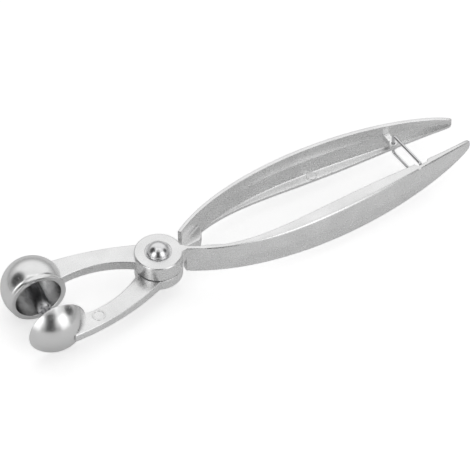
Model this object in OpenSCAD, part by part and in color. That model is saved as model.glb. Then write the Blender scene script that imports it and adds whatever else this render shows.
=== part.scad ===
// Hand-held olive pitter: two cast levers crossed on one rivet. The upper lever
// carries a bell-shaped hood with the punch inside it, the lower lever carries
// the dish that holds the olive. A torsion spring hidden in the pivot opens the
// tool, and a wire bail on the lower lever hooks over the upper one to lock it.
//
// Millimetres. The pivot axis is the Z axis and z = 0 is the flat underside of
// the lower pivot disc. The handles point along +X and the jaws along -X. The
// lower lever has its handle and its jaw arm on opposite sides: handle at +Y,
// arm at -Y. The upper lever is crossed the other way. This is the locked pose.

/* [Pivot] */
// Diameter of the two pivot discs
hub_d = 16.9; // [16.4:0.1:17.6]
// Height of the lower pivot disc
lower_hub_h = 4.3; // [4.1:0.1:4.8]
// Height of the upper pivot disc
upper_hub_h = 6; // [5.6:0.1:6.6]
// Width of the chamfer on the upper disc's top edge
hub_chamfer = 0.4; // [0.2:0.1:0.7]
// Thickness of the washer ring that parts the two discs
hub_washer_t = 0.3; // [0.2:0.05:0.5]
// Width of the flat of the washer ring
hub_washer_w = 1.3; // [0.8:0.1:1.4]
// Distance of the washer's rim inside the discs' rims
hub_washer_inset = 0.35; // [0.2:0.05:0.5]
// Diameter of the rivet shank
rivet_d = 5; // [4.6:0.1:5.2]
// Diameter of the domed rivet head
rivet_head_d = 8.6; // [7.8:0.1:9.4]
// Height of the domed rivet head
rivet_head_h = 3.6; // [2.6:0.1:4]
// Diameter of the rivet's flush tail
rivet_tail_d = 8; // [6.5:0.1:8.2]
// Height of the rivet's flush tail
rivet_tail_h = 1.5; // [1:0.1:1.6]
// Depth of the shallow seat that the rivet head sits in
rivet_seat_h = 0.3; // [0.2:0.05:0.5]
// Room around the rivet head in its seat
rivet_seat_room = 0.35; // [0.2:0.05:0.5]
// Radial running clearance of the rivet in the levers
running_fit = 0.05; // [0.03:0.01:0.08]
// Gap between faces that turn against each other
face_gap = 0.05; // [0.03:0.01:0.1]

/* [Return spring] */
// Diameter of the spring wire
spring_wire_d = 0.9; // [0.7:0.05:1]
// Outer diameter of the spring coil
spring_coil_d = 10.7; // [10.4:0.1:10.9]
// Half turns of the coil
spring_half_turns = 5; // [4:1:5]
// Depth of the spring's pocket in each pivot disc
spring_pocket_h = 2; // [1.9:0.1:2.2]
// Room around the coil in its pocket
spring_room = 0.25; // [0.15:0.05:0.4]
// Length of the two bent ends that hook into the discs
spring_leg_h = 1.1; // [0.8:0.1:1.2]
// Angle that the punch lever swings open, in degrees
open_angle = 24; // [15:1:28]

/* [Jaw arms] */
// Thickness of the hood's arm
hood_arm_t = 3.9; // [3.4:0.1:4.2]
// Thickness of the dish's arm
dish_arm_t = 3.4; // [3:0.1:3.6]
// Depth of the hood arm's upper face below the upper disc's top
hood_arm_drop = 1.4; // [1.1:0.1:1.6]
// Height of the dish arm's lower face above the lower disc's underside
dish_arm_lift = 0.9; // [0.6:0.1:1.1]
// Distance from the pivot to the crest of the arms' inner edges
arm_crest_x = 30; // [29:0.1:31]
// Offset of that crest from the long axis
arm_crest_y = 7.4; // [7.1:0.1:7.7]
// Radius of the arms' inner edges
arm_inner_r = 36; // [34:0.5:38]
// Offset of the crest of the hood arm's outer edge from that of its inner edge
hood_arm_w = 9.7; // [9.4:0.1:10.2]
// Radius of the outer edge of the hood's arm
hood_arm_outer_r = 120; // [112:1:128]
// Distance from the pivot to the crest of the hood arm's outer edge
hood_arm_outer_x = 51; // [50:0.5:52]
// Offset of the crest of the dish arm's outer edge from that of its inner edge
dish_arm_w = 7.4; // [7.1:0.1:7.8]
// Radius of the outer edge of the dish's arm
dish_arm_outer_r = 93; // [88:1:98]
// Distance from the pivot to the crest of the dish arm's outer edge
dish_arm_outer_x = 38; // [37:0.5:39]
// Diameter of the round casting mark on the dish's arm
arm_mark_d = 5; // [4:0.1:5.2]
// Distance from the pivot to that mark, along the tool
arm_mark_x = 28.9; // [25:0.1:30]
// Offset of that mark from the long axis
arm_mark_y = 10.6; // [10.2:0.1:12]
// Depth of that mark
arm_mark_h = 0.15; // [0.1:0.05:0.3]
// Width of that mark's line
arm_mark_line = 0.3; // [0.2:0.05:0.5]

/* [Hood and punch] */
// Distance from the pivot to the middle of the hood's mouth
hood_reach = 43.7; // [43.2:0.1:44.6]
// Angle between the hood's mouth and the long axis, in degrees
hood_angle = 9.1; // [8.8:0.1:9.6]
// Turn of the hood's axis away from straight across, in degrees
hood_turn = 5.7; // [5:0.1:6.4]
// Height of the middle of the hood and the dish above the lower disc's underside
jaw_z = 3.9; // [3.7:0.1:4.3]
// Outer diameter of the hood's mouth, its lip left out
hood_d = 19.5; // [19.2:0.1:20]
// Wall thickness of the hood
hood_wall = 1.4; // [1.1:0.1:1.8]
// Overall length of the hood, which is a ball cut off at the mouth
hood_len = 16.6; // [16:0.1:17.2]
// How far the lip stands out from the hood's side
hood_lip = 0.5; // [0.3:0.05:0.7]
// Height of the lip along the hood
hood_lip_h = 1.1; // [0.8:0.1:1.6]
// Thickness of the hood's back behind the punch
hood_back_t = 3.1; // [2.8:0.1:3.5]
// Diameter of the punch at its foot
punch_d = 6.1; // [5.6:0.1:6.4]
// Diameter of the punch at its crown
punch_tip_d = 5; // [4.6:0.1:5.2]
// How far the punch stands out of the hood's mouth
punch_reach = 6.3; // [5:0.1:7]
// Wall thickness of the punch's crown
punch_crown_wall = 0.9; // [0.6:0.1:1.2]
// Depth of the crown's hollow and teeth
punch_crown_h = 1.6; // [1.2:0.1:2]
// Teeth of the crown
punch_teeth = 6; // [4:1:8]
// Width of a gap between two teeth of the crown, at the teeth's ends
punch_gap_w = 1.1; // [0.7:0.1:1.3]
// Diameter of the punch's collar, which seats inside the hood
punch_collar_d = 8; // [7:0.1:8.6]
// Thickness of the punch's collar
punch_collar_t = 1.2; // [0.8:0.1:1.6]
// Diameter of the punch's tail, which is riveted through the hood
punch_tail_d = 3; // [2.5:0.1:3.4]

/* [Dish] */
// Distance from the pivot to the middle of the dish's mouth
dish_reach = 44.6; // [44.2:0.1:45.4]
// Angle between the dish's mouth and the long axis, in degrees
dish_angle = 10.3; // [10:0.1:10.8]
// Turn of the dish's axis away from straight across, in degrees
dish_turn = 2.2; // [1.6:0.1:2.8]
// Diameter of the dish's mouth
dish_d = 21.6; // [21:0.1:22.2]
// Outer depth of the dish
dish_depth = 6.9; // [6.5:0.1:7.3]
// Wall thickness of the dish
dish_wall = 1.4; // [1.1:0.1:1.8]

/* [Handles] */
// Distance from the pivot to a handle's tip
handle_reach = 121.5; // [118:0.5:125]
// Offset of a handle's outer edge from the long axis at its root
handle_root_y = 4.1; // [4:0.1:4.6]
// Swell of a handle's outer edge near the pivot
handle_swell_y = 28.9; // [27:0.1:31]
// Offset of a handle's outer edge from the long axis at its tip
handle_tip_y = 6.1; // [5.8:0.1:6.6]
// Largest height of a handle
handle_belly_h = 14.1; // [13.2:0.1:15]
// Height of a handle at its root
handle_root_h = 11.8; // [11.4:0.1:12.2]
// Height of a handle at its very tip
handle_tip_h = 3; // [2.6:0.1:3.6]
// Height of a handle's middle above the lower disc's underside
handle_z = 5.2; // [5:0.1:5.5]
// Wall thickness of a handle
handle_wall = 1.4; // [1.2:0.05:1.6]
// Largest width of a handle's flange, its wall included
flange_w = 4.7; // [4.2:0.1:5.2]
// How far a handle's side bulges out between its two edges
handle_bulge = 1.1; // [0.8:0.1:1.3]
// Radius of the rounded edge between a handle's flange and wall
handle_edge_r = 1; // [0.7:0.05:1.2]

// Diameter of the round casting mark on the lower handle's flange
flange_mark_d = 3.8; // [3:0.1:4.2]
// Distance from the pivot to that mark
flange_mark_x = 68.3; // [60:0.1:76]
// Height of that mark above the flange
flange_mark_h = 0.3; // [0.2:0.05:0.5]

/* [Bail] */
// Diameter of the bail's wire
bail_wire_d = 1.1; // [1:0.05:1.2]
// Distance of the bail's hinge from the handles' tips, along the tool
bail_from_tip = 23.4; // [22.6:0.1:24]
// Distance of the bail's hinge from its handle's outer edge
bail_stand_off = 5.35; // [5.1:0.05:5.6]
// Height of the bail's lower edge above the lower disc's underside
bail_z = 0.9; // [0.8:0.05:1.1]
// Height of the bail, wire included
bail_h = 9.5; // [9:0.1:9.8]
// Gap between the locked bail's far end and the upper lever's wall
bail_wall_gap = 0.8; // [0.5:0.05:1]
// Lean of the locked bail towards the handles' tips, in degrees
bail_lean = 5; // [4:0.5:6]
// Radius of the bail's bent corners, to the middle of the wire
bail_bend_r = 1.3; // [1:0.1:1.6]
// Clearance around the bail's wire in its eye
bail_fit = 0.08; // [0.05:0.01:0.1]
// Wall of the eye that holds the bail
bail_eye_wall = 0.9; // [0.8:0.1:1.2]
// Height of the eye that holds the bail
bail_eye_h = 2.2; // [1.8:0.1:2.6]
// Length of the notch for the bail in the upper lever's flange, at the wall
notch_len = 6; // [5.6:0.1:6.6]
// Room between the locked bail and the near side of its notch
notch_room = 0.4; // [0.3:0.05:0.5]

/* [Hidden] */
$fn = 96;
// A cut runs this far past the face that it goes through
over = 0.5;
// Levels of the pivot, from below
lower_top_z = lower_hub_h;
upper_bottom_z = lower_hub_h + hub_washer_t + face_gap;
upper_top_z = upper_bottom_z + upper_hub_h;
rivet_seat_z = upper_top_z - rivet_seat_h;
hub_r = hub_d / 2;
rivet_bore_d = rivet_d + 2 * running_fit;

// Spring: the coil fills its pocket but for the room around it
spring_r = (spring_coil_d - spring_wire_d) / 2;
spring_floor_z = lower_top_z - spring_pocket_h;
spring_ceiling_z = upper_bottom_z + spring_pocket_h;
spring_low_z = spring_floor_z + spring_room + spring_wire_d / 2;
spring_high_z = spring_ceiling_z - spring_room - spring_wire_d / 2;
spring_turn = 180 * spring_half_turns;
spring_steps = 12 * spring_half_turns;
spring_sides = 8;
// Spare swing of the upper slot past the spring's leg, in degrees
slot_spare = 10;

// Arms: bottom and top of each plate
hood_arm_z = upper_top_z - hood_arm_drop - hood_arm_t;
dish_arm_top_z = dish_arm_lift + dish_arm_t;
// The arms run this far into their discs
arm_root_x = -hub_r / 8;
// An arm stops this far from the pivot, well inside its hood or dish
hood_arm_end_x = 37;
dish_arm_end_x = 41;

// Hood: a ball outside, a straight bore inside with a round end and a flat seat
hood_r = hood_d / 2;
hood_ball_r = (hood_r * hood_r + hood_len * hood_len) / (2 * hood_len);
hood_ball_s = hood_len - hood_ball_r;
hood_bore_r = hood_r - hood_wall;
hood_bore_s = hood_len - hood_wall - hood_bore_r;
hood_seat_s = hood_len - hood_back_t;
// The punch's tail ends just inside the round back
punch_tail_end_s = hood_ball_s + sqrt(pow(hood_ball_r, 2) - pow(punch_tail_d / 2, 2)) - 0.05;

// Dish: one spherical shell, cut off at the mouth
dish_r = dish_d / 2;
dish_ball_r = (dish_r * dish_r + dish_depth * dish_depth) / (2 * dish_depth);
dish_ball_s = dish_ball_r - dish_depth;

// Handles: the outer edge is one cubic curve from root to tip
handle_steps = 44;
handle_root_x = 10;
handle_curve = [
    [handle_root_x, handle_root_y],
    [45.5, handle_swell_y],
    [handle_reach + 0.5, handle_tip_y + 1.5],
    [handle_reach, handle_tip_y]
];
// Height that the taper alone gives at the belly, and the belly's shape
handle_taper_h = (handle_root_h + handle_tip_h) / 2;
belly_skew = 1.08;
belly_power = 1.6;
// The root sits this much above the handle's middle height
handle_root_lift = 0.6;
// The flange widens between these two shares of the handle's reach
flange_from = 0.16;
flange_to = 0.955;
edge_steps = 4;

// Bail
bail_wire_r = bail_wire_d / 2;
bail_x = handle_reach - bail_from_tip;
bail_y = handle_y(bail_x) - bail_stand_off;
// The far end bar stands inside the upper lever's wall
bail_len = (bail_y + handle_y(bail_x) - handle_wall - bail_wall_gap - bail_wire_r) / cos(bail_lean);
bail_end_x = bail_x + bail_len * sin(bail_lean);
bail_end_y = bail_y - bail_len * cos(bail_lean);
bail_eye_r = bail_wire_r + bail_fit + bail_eye_wall;
// The notch's near side leans back by this much behind its lip
notch_lean = 1.3;
// The notch widens by this much towards its mouth
notch_flare = 2;
notch_lip_x = bail_end_x - bail_wire_r - notch_room;
notch_wall_x = notch_lip_x - notch_lean;

// Plans of the two necks, from inside the pivot disc into the handle's wall
lower_neck = [
    [0, -hub_r / 2], [hub_r - 1, -1.6], [12.2, 2.1], [18.1, 2.7], [19.8, 5],
    [20.8, 8], [20, 9], [16, 7.3], [11, 4.4], [6, 4.6]
];
upper_neck = [
    [0, -hub_r / 2], [6, -4.6], [9, -3.8], [14, -6.7], [21, -9.5], [25.5, -11],
    [25.5, -10.5], [16.1, -5.6], [13.7, -4.9], [10, -2.7], [hub_r - 1, 0]
];

// ---- Curves and sections ----

function cubic(p, t) =
    pow(1 - t, 3) * p[0] + 3 * pow(1 - t, 2) * t * p[1]
    + 3 * (1 - t) * t * t * p[2] + pow(t, 3) * p[3];

function cubic_slope(p, t) =
    3 * pow(1 - t, 2) * (p[1] - p[0]) + 6 * (1 - t) * t * (p[2] - p[1])
    + 3 * t * t * (p[3] - p[2]);

// Unit vector across the handle, from its outer edge towards the long axis
function handle_inward(t) =
    let (d = cubic_slope(handle_curve, t), n = norm(d)) [d[1] / n, -d[0] / n];

// Height of the handle: a straight taper from root to tip with a belly on it
function handle_height(t) =
    handle_root_h + (handle_tip_h - handle_root_h) * t
    + (handle_belly_h - handle_taper_h) * pow(sin(180 * pow(t, belly_skew)), belly_power);

function handle_middle(t) = handle_z + handle_root_lift * pow(1 - t, 12);

// Wall, thinned over the last stretch so that the tip closes to a point
function wall_at(t) = handle_wall * (1 - 0.5 * pow(t, 14));

// Width of the flange beyond the wall
function flange_at(t) =
    let (
        x = cubic(handle_curve, t)[0] / handle_reach,
        s = (x - flange_from) / (flange_to - flange_from)
    )
    0.05 + (s > 0 && s < 1 ? (flange_w - handle_wall) * pow(sin(180 * s), 1.5) : 0);

function bulge_at(t) = handle_bulge * (1 - pow(2 * t - 1, 4));

// Section of a handle, as [inward, up] pairs: a wall with a bent outer side and
// a flange along its lower edge, the corner between them rounded
function handle_section(t) =
    let (
        h = handle_height(t) / 2,
        w = wall_at(t),
        e = w + flange_at(t),
        b = bulge_at(t),
        r = min(handle_edge_r, 0.9 * w, h / 3),
        c = 0.25 * w
    )
    concat(
        [for (i = [0:edge_steps]) let (a = 270 - 90 * i / edge_steps)
            [r + r * cos(a), -h + r + r * sin(a)]],
        [[-b, 0], [0, h - c], [c, h], [w, h], [w - b, 0], [w, -h + w], [e, -h + w], [e, -h]]
    );

function handle_ring(t) =
    let (p = cubic(handle_curve, t), n = handle_inward(t), z = handle_middle(t))
    [for (q = handle_section(t)) [p[0] + n[0] * q[0], p[1] + n[1] * q[0], z + q[1]]];

// Offset of a handle's outer edge from the long axis at a distance x from the
// pivot, and the height of its lower edge there
function handle_y(x) = lookup(x, [for (i = [0:handle_steps - 1])
    [cubic(handle_curve, i / handle_steps)[0], cubic(handle_curve, i / handle_steps)[1]]]);
function handle_floor(x) = lookup(x, [for (i = [0:handle_steps - 1]) let (t = i / handle_steps)
    [cubic(handle_curve, t)[0], handle_middle(t) - handle_height(t) / 2]]);
// Offset of the inner side of a handle's wall, a touch clear of the wall
function notch_floor_y(x) = handle_y(x) - handle_wall - 0.1;

// Faces of a closed tube through rings of equally many points
function tube_faces(rings, sides) = concat(
    [[for (j = [0:sides - 1]) j]],
    [for (i = [0:rings - 2]) for (j = [0:sides - 1])
        let (k = (j + 1) % sides)
        each [
            [i * sides + j, (i + 1) * sides + j, (i + 1) * sides + k],
            [i * sides + j, (i + 1) * sides + k, i * sides + k]
        ]],
    [[for (j = [sides - 1:-1:0]) (rings - 1) * sides + j]]
);

// ---- Shared shapes ----

// One channel-like handle with its flange below, on the +Y side
module handle_channel() {
    sides = edge_steps + 9;
    points = [for (i = [0:handle_steps]) each handle_ring(i / handle_steps)];
    polyhedron(points, tube_faces(handle_steps + 1, sides), convexity = 8);
}

// The other handle is the same shape turned over about the long axis
module turned_over() {
    translate([0, 0, 2 * handle_z])
        rotate([180, 0, 0])
            children();
}

// Plan of a curved jaw arm on the +Y side, between two arcs
module arm_plan(width, outer_r, outer_x, end_x) {
    difference() {
        intersection() {
            translate([-outer_x, arm_crest_y + width - outer_r]) circle(outer_r, $fn = 240);
            translate([-end_x, -hub_r]) square([end_x + arm_root_x, 4 * hub_r]);
        }
        translate([-arm_crest_x, arm_crest_y - arm_inner_r]) circle(arm_inner_r, $fn = 240);
    }
}

// Stands children, drawn along +Z with the mouth at z = 0 and the closed end
// at +Z, at a jaw's mouth. side is 1 for the hood and -1 for the dish.
module at_mouth(side, reach, angle, turn) {
    translate([-reach * cos(angle), side * reach * sin(angle), jaw_z])
        rotate([0, 0, side * turn])
            rotate([-side * 90, 0, 0])
                children();
}

module at_hood() {
    at_mouth(1, hood_reach, hood_angle, -hood_turn) children();
}

module at_dish() {
    at_mouth(-1, dish_reach, dish_angle, dish_turn) children();
}

// Outside of the hood without its lip
module hood_body() {
    intersection() {
        translate([0, 0, hood_ball_s]) sphere(hood_ball_r);
        cylinder(h = hood_len + over, r = hood_ball_r + over);
    }
}

// The ball of metal that the dish is cut from, from its mouth or a bit before
module dish_body(before = 0) {
    intersection() {
        translate([0, 0, -dish_ball_s]) sphere(dish_ball_r);
        translate([0, 0, -before])
            cylinder(h = dish_depth + before + over, r = dish_ball_r);
    }
}

// Ring-shaped half of the spring's pocket, from z = 0 upwards
module spring_pocket() {
    difference() {
        cylinder(h = spring_pocket_h + over, d = spring_coil_d + 4 * spring_room);
        translate([0, 0, -over])
            cylinder(h = spring_pocket_h + 3 * over, r = spring_r - spring_wire_d / 2 - 2 * spring_room);
    }
}

// Wire of the bail, bent round one corner: a quarter of a ring
module bail_corner() {
    rotate_extrude(angle = 90)
        translate([bail_bend_r, 0])
            circle(bail_wire_r, $fn = 32);
}

// ---- The pieces ----

// Lower lever: pivot disc, the dish's arm, neck, handle, the bail's eye
module dish_lever() {
    color("silver")
    difference() {
        union() {
            cylinder(h = lower_hub_h, r = hub_r);
            dish_arm();
            handle_channel();
            linear_extrude(lower_hub_h) polygon(lower_neck);
            flange_mark();
            bail_lug();
        }
        translate([0, 0, -over]) cylinder(h = lower_hub_h + 2 * over, d = rivet_bore_d);
        rivet_tail(running_fit);
        translate([0, 0, spring_floor_z]) spring_pocket();
        spring_leg(spring_floor_z - spring_leg_h - spring_room, spring_floor_z + over, 0, spring_room);
        translate([bail_x, bail_y, handle_z - bail_eye_h])
            cylinder(h = 2 * bail_eye_h, r = bail_wire_r + bail_fit, $fn = 48);
    }
}

module dish_arm() {
    difference() {
        translate([0, 0, dish_arm_lift])
            linear_extrude(dish_arm_t)
                mirror([0, 1, 0])
                    arm_plan(dish_arm_w, dish_arm_outer_r, dish_arm_outer_x, dish_arm_end_x);
        at_dish() dish_body(over);
        at_dish() translate([0, 0, -dish_ball_r])
            cylinder(h = dish_ball_r, r = dish_ball_r);
        translate([-arm_mark_x, -arm_mark_y, dish_arm_top_z - arm_mark_h]) difference() {
            cylinder(h = 2 * arm_mark_h, d = arm_mark_d);
            translate([0, 0, -over])
                cylinder(h = 2 * over + arm_mark_h, d = arm_mark_d - 2 * arm_mark_line);
        }
    }
}

// Round boss left by the casting mould, on the lower handle's flange
module flange_mark() {
    flange_top_z = handle_floor(flange_mark_x) + handle_wall;
    y = handle_y(flange_mark_x) - handle_wall - flange_mark_d / 2 + 0.4;
    translate([flange_mark_x, y, flange_top_z - handle_wall / 2])
        cylinder(h = handle_wall / 2 + flange_mark_h, d = flange_mark_d);
}

// Eye for the bail and the web that joins it to the handle's wall
module bail_lug() {
    translate([bail_x, bail_y, handle_z - bail_eye_h / 2]) {
        cylinder(h = bail_eye_h, r = bail_eye_r, $fn = 48);
        translate([-bail_eye_h / 2, bail_wire_r + bail_fit, 0])
            cube([bail_eye_h, handle_y(bail_x) - bail_y - bail_wire_r, bail_eye_h]);
    }
}

// Upper lever: pivot disc, the hood's arm, neck and the turned-over handle
module punch_lever() {
    color("gainsboro")
    difference() {
        union() {
            upper_hub();
            hood_arm();
            turned_over() handle_channel();
            translate([0, 0, upper_bottom_z]) linear_extrude(upper_hub_h) polygon(upper_neck);
        }
        translate([0, 0, upper_bottom_z - over])
            cylinder(h = upper_hub_h + 2 * over, d = rivet_bore_d);
        translate([0, 0, rivet_seat_z])
            cylinder(h = rivet_seat_h + over, d = rivet_head_d + 2 * rivet_seat_room);
        translate([0, 0, spring_ceiling_z]) mirror([0, 0, 1]) spring_pocket();
        spring_slot();
        bail_notch();
    }
}

module upper_hub() {
    translate([0, 0, upper_bottom_z]) {
        cylinder(h = upper_hub_h - hub_chamfer, r = hub_r);
        translate([0, 0, upper_hub_h - hub_chamfer])
            cylinder(h = hub_chamfer, r1 = hub_r, r2 = hub_r - hub_chamfer);
    }
}

module hood_arm() {
    difference() {
        translate([0, 0, hood_arm_z])
            linear_extrude(hood_arm_t)
                arm_plan(hood_arm_w, hood_arm_outer_r, hood_arm_outer_x, hood_arm_end_x);
        at_hood() hood_body();
        at_hood() hood_rim();
    }
}

// Lip around the hood's mouth, drawn solid
module hood_rim() {
    cylinder(h = hood_lip_h, r = hood_r + hood_lip);
}

// Slot in which the spring's upper leg stands while the lever swings past it
module spring_slot() {
    wide = spring_wire_d + 2 * spring_room;
    from = spring_turn - slot_spare;
    translate([0, 0, spring_ceiling_z - over])
        rotate([0, 0, from])
            rotate_extrude(angle = open_angle + 2 * slot_spare)
                translate([spring_r - wide / 2, 0])
                    square([wide, spring_leg_h + spring_room + over]);
}

// Notch in the upper flange, undercut at its near side to hold the bail
module bail_notch() {
    far_x = notch_wall_x + notch_len;
    mouth_y = -bail_y;
    translate([0, 0, handle_z]) linear_extrude(handle_belly_h) polygon([
        [notch_lip_x, bail_end_y + bail_wire_r],
        [notch_wall_x, -notch_floor_y(notch_wall_x)],
        [far_x, -notch_floor_y(far_x)],
        [far_x + notch_flare, mouth_y],
        [notch_lip_x, mouth_y]
    ]);
}

// Bell-shaped hood around the punch, open towards the dish
module punch_hood() {
    color("lightgray")
    at_hood() difference() {
        union() {
            hood_body();
            hood_rim();
        }
        translate([0, 0, -over]) cylinder(h = hood_bore_s + over, r = hood_bore_r);
        translate([0, 0, hood_bore_s]) intersection() {
            sphere(hood_bore_r);
            translate([0, 0, -over])
                cylinder(h = hood_seat_s - hood_bore_s + over, r = hood_bore_r + over);
        }
        cylinder(h = hood_len + over, d = punch_tail_d);
    }
}

// Punch with a toothed crown, a collar and a tail riveted through the hood
module stone_punch() {
    collar_s = hood_seat_s - punch_collar_t;
    crown_h = punch_crown_h + over;
    color("darkgray")
    at_hood() difference() {
        union() {
            translate([0, 0, -punch_reach]) cylinder(h = crown_h, d = punch_tip_d);
            translate([0, 0, crown_h - punch_reach])
                cylinder(h = collar_s + punch_reach - crown_h, d1 = punch_tip_d, d2 = punch_d);
            translate([0, 0, collar_s]) cylinder(h = punch_collar_t, d = punch_collar_d);
            translate([0, 0, hood_seat_s])
                cylinder(h = punch_tail_end_s - hood_seat_s, d = punch_tail_d);
        }
        translate([0, 0, -punch_reach - over])
            cylinder(h = punch_crown_h + over, d = punch_tip_d - 2 * punch_crown_wall);
        for (i = [0:punch_teeth - 1])
            rotate([0, 0, 360 * (i + 0.5) / punch_teeth]) punch_gap();
    }
}

// Tapered gap between two teeth of the crown, cut outwards from the middle
module punch_gap() {
    half = punch_gap_w / 2;
    inner_r = punch_tip_d / 2 - punch_crown_wall;
    top = 0.8 * punch_crown_h;
    translate([inner_r / 2, 0, -punch_reach])
        rotate([90, 0, 90])
            linear_extrude(punch_tip_d)
                polygon([[-half, -over], [-half / 4, top], [half / 4, top], [half, -over]]);
}

// Shallow dish that holds the olive, closed at its back
module olive_dish() {
    color("whitesmoke")
    at_dish() difference() {
        dish_body();
        translate([0, 0, -dish_ball_s]) sphere(dish_ball_r - dish_wall);
    }
}

// Rivet through both levers: domed head above, flush tail below
module pivot_rivet() {
    head_r = rivet_head_d / 2;
    ball_r = (head_r * head_r + rivet_head_h * rivet_head_h) / (2 * rivet_head_h);
    head_z = rivet_seat_z + face_gap;
    color("gray") {
        cylinder(h = head_z + over, d = rivet_d);
        rivet_tail(0);
        translate([0, 0, head_z]) intersection() {
            translate([0, 0, rivet_head_h - ball_r]) sphere(ball_r);
            cylinder(h = rivet_head_h + over, r = rivet_head_d);
        }
    }
}

// Countersunk tail of the rivet, wider all round by room
module rivet_tail(room) {
    cylinder(h = rivet_tail_h, d1 = rivet_tail_d + 2 * room, d2 = rivet_d + 2 * room);
}

// Washer ring between the two discs, outside the spring's pocket
module hub_washer() {
    ring_r = hub_r - hub_washer_inset;
    color("dimgray")
    translate([0, 0, lower_top_z]) difference() {
        cylinder(h = hub_washer_t, r = ring_r);
        translate([0, 0, -over]) cylinder(h = hub_washer_t + 2 * over, r = ring_r - hub_washer_w);
    }
}

// Torsion spring: one leg down into the lower lever, one up into the upper
module return_spring() {
    rings = [for (i = [0:spring_steps]) each spring_ring(i / spring_steps)];
    color("slategray") {
        polyhedron(rings, tube_faces(spring_steps + 1, spring_sides), convexity = 6);
        spring_leg(spring_floor_z - spring_leg_h, spring_low_z, 0, 0);
        spring_leg(spring_high_z, spring_ceiling_z + spring_leg_h, spring_turn, 0);
    }
}

function spring_ring(u) =
    let (a = spring_turn * u, z = spring_low_z + (spring_high_z - spring_low_z) * u)
    [for (j = [0:spring_sides - 1])
        let (b = 360 * j / spring_sides, r = spring_r + spring_wire_d / 2 * cos(b))
        [r * cos(a), r * sin(a), z - spring_wire_d / 2 * sin(b)]];

// Straight end of the spring's wire, or with room the hole that it stands in
module spring_leg(from_z, to_z, angle, room) {
    rotate([0, 0, angle])
        translate([spring_r, 0, from_z])
            cylinder(h = to_z - from_z, r = spring_wire_d / 2 + room, $fn = 32);
}

// Wire bail: a closed rectangle of wire that swings on one of its end bars
module latch_bail() {
    bar_y = bail_len;
    low = bail_wire_r;
    high = bail_h - bail_wire_r;
    color("lightsteelblue")
    translate([bail_x, bail_y, bail_z]) rotate([0, 0, bail_lean]) {
        for (y = [0, -bar_y])
            translate([0, y, low + bail_bend_r])
                cylinder(h = high - low - 2 * bail_bend_r, r = bail_wire_r, $fn = 32);
        for (z = [low, high])
            translate([0, -bail_bend_r, z])
                rotate([90, 0, 0])
                    cylinder(h = bar_y - 2 * bail_bend_r, r = bail_wire_r, $fn = 32);
        bail_corners(low + bail_bend_r, high - bail_bend_r, bar_y);
    }
}

// The four bent corners of the bail
module bail_corners(low, high, bar_y) {
    near = -bail_bend_r;
    far = bail_bend_r - bar_y;
    for (c = [[near, high, 0], [far, high, 90], [far, low, 180], [near, low, 270]])
        translate([0, c[0], c[1]]) rotate([90, 0, 90]) rotate([0, 0, c[2]]) bail_corner();
}

dish_lever();
punch_lever();
olive_dish();
punch_hood();
stone_punch();
pivot_rivet();
hub_washer();
return_spring();
latch_bail();
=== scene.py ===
"""Looks of a hand-held olive pitter: cast levers, polished jaws, studio and camera.

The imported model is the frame. The lengths of the object are in millimetres, and Maker.piece
turns them into metres. Those of the camera, the studio and the finishes are in metres.
"""

import logging
import math
from dataclasses import dataclass, field
from enum import Enum

import bmesh
import bpy
import numpy as np
from mathutils import Matrix, Vector


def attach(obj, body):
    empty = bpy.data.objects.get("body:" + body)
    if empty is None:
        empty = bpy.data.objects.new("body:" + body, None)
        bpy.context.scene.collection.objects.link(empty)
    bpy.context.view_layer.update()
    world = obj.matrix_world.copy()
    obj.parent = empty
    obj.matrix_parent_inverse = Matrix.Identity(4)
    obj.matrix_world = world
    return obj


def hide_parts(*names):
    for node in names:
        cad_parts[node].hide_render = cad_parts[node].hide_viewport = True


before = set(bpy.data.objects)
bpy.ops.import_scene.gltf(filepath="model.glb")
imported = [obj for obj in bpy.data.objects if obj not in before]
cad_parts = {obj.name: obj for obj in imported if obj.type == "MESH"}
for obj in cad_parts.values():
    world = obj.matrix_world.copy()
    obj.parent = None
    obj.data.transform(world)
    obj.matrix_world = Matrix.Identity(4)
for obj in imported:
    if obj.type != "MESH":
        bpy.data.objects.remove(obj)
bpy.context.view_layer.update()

MM = 0.001
WHITE = (1.0, 1.0, 1.0, 1.0)
UNIT_SPAN = (0.0, 1.0)
# Turn of the photograph's level view direction off the Y axis
PHOTO_AZIMUTH_DEG = 29.07
# Middle of the bail's eye in plan, in millimetres
BAIL_X, BAIL_Y = 98.1, 6.9
log = logging.getLogger("olive_pitter")

Skin = tuple[np.ndarray, list]


class Coat(Enum):
    """Names of the finishes that the pieces wear."""

    CAST = "cast_satin"
    POLISHED = "polished_jaw"
    TURNED = "turned_punch"
    RIVET = "rivet_head"
    WIRE = "bright_wire"
    DARK = "dark_washer"


def join_values(
    tree: bpy.types.NodeTree,
    how: str,
    first: bpy.types.NodeSocket,
    second: bpy.types.NodeSocket | float,
    clamp: bool = False,
) -> bpy.types.NodeSocket:
    """Join two values by a maths node.

    Args:
        tree: Tree that gets the node.
        how: Operation of the node.
        first: First value.
        second: Second value, linked or typed in.
        clamp: Whether the result is held between 0 and 1.

    Returns:
        The result.
    """
    node = tree.nodes.new("ShaderNodeMath")
    node.operation = how
    node.use_clamp = clamp
    tree.links.new(first, node.inputs[0])
    if isinstance(second, bpy.types.NodeSocket):
        tree.links.new(second, node.inputs[1])
    else:
        node.inputs[1].default_value = second
    return node.outputs["Value"]


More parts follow.
